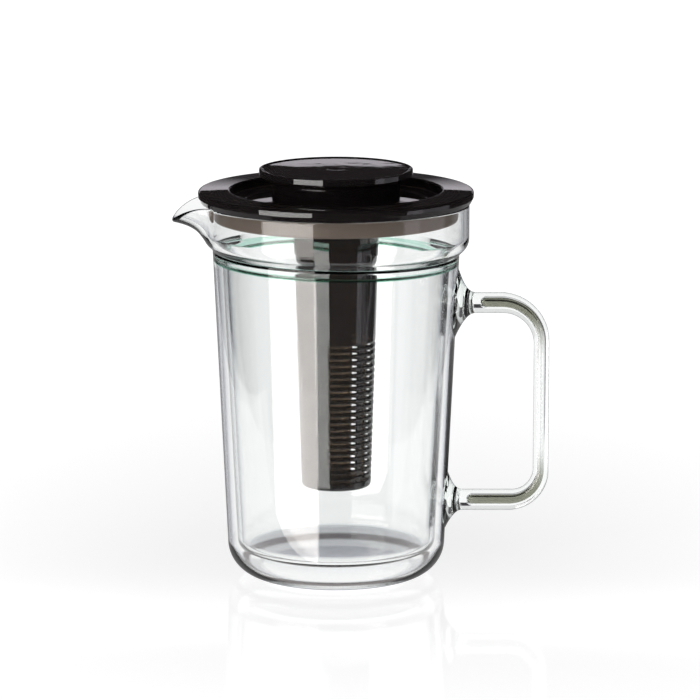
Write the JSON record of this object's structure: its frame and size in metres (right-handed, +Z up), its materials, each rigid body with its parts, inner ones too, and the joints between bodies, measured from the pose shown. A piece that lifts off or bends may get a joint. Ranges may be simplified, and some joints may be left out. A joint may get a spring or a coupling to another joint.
{
  "type": "glass jug",
  "caption": "Double-walled glass jug with a pulled lip, a bent glass handle, and a lift-off lid carrying a slotted infuser and its knob cap.",
  "frame": {"origin": "centre of the flat base, on the surface that the jug stands on", "axes": "+Z up along the jug's axis, +X towards the handle, -X towards the pouring lip"},
  "size_m": [0.1893, 0.138, 0.2071],
  "materials": {
    "clear_glass": "fire-polished clear borosilicate glass",
    "smoke_plastic": "polished smoke-brown clear plastic"
  },
  "bodies": {
    "jug": {"inner_vessel": "clear_glass", "outer_jacket": "clear_glass", "handle": "clear_glass"},
    "lid": {"lid": "smoke_plastic"},
    "infuser": {"infuser": "smoke_plastic"},
    "knob_cap": {"knob_cap": "smoke_plastic"}
  },
  "joints": [
    {"name": "lid_lift", "type": "slide", "parent": "jug", "child": "lid", "axis": [0, 0, 1], "range_m": [0, 0.155]},
    {"name": "infuser_lift", "type": "slide", "parent": "lid", "child": "infuser", "axis": [0, 0, 1], "range_m": [0, 0.16]},
    {"name": "knob_lift", "type": "slide", "parent": "infuser", "child": "knob_cap", "axis": [0, 0, 1], "range_m": [0, 0.03]}
  ]
}
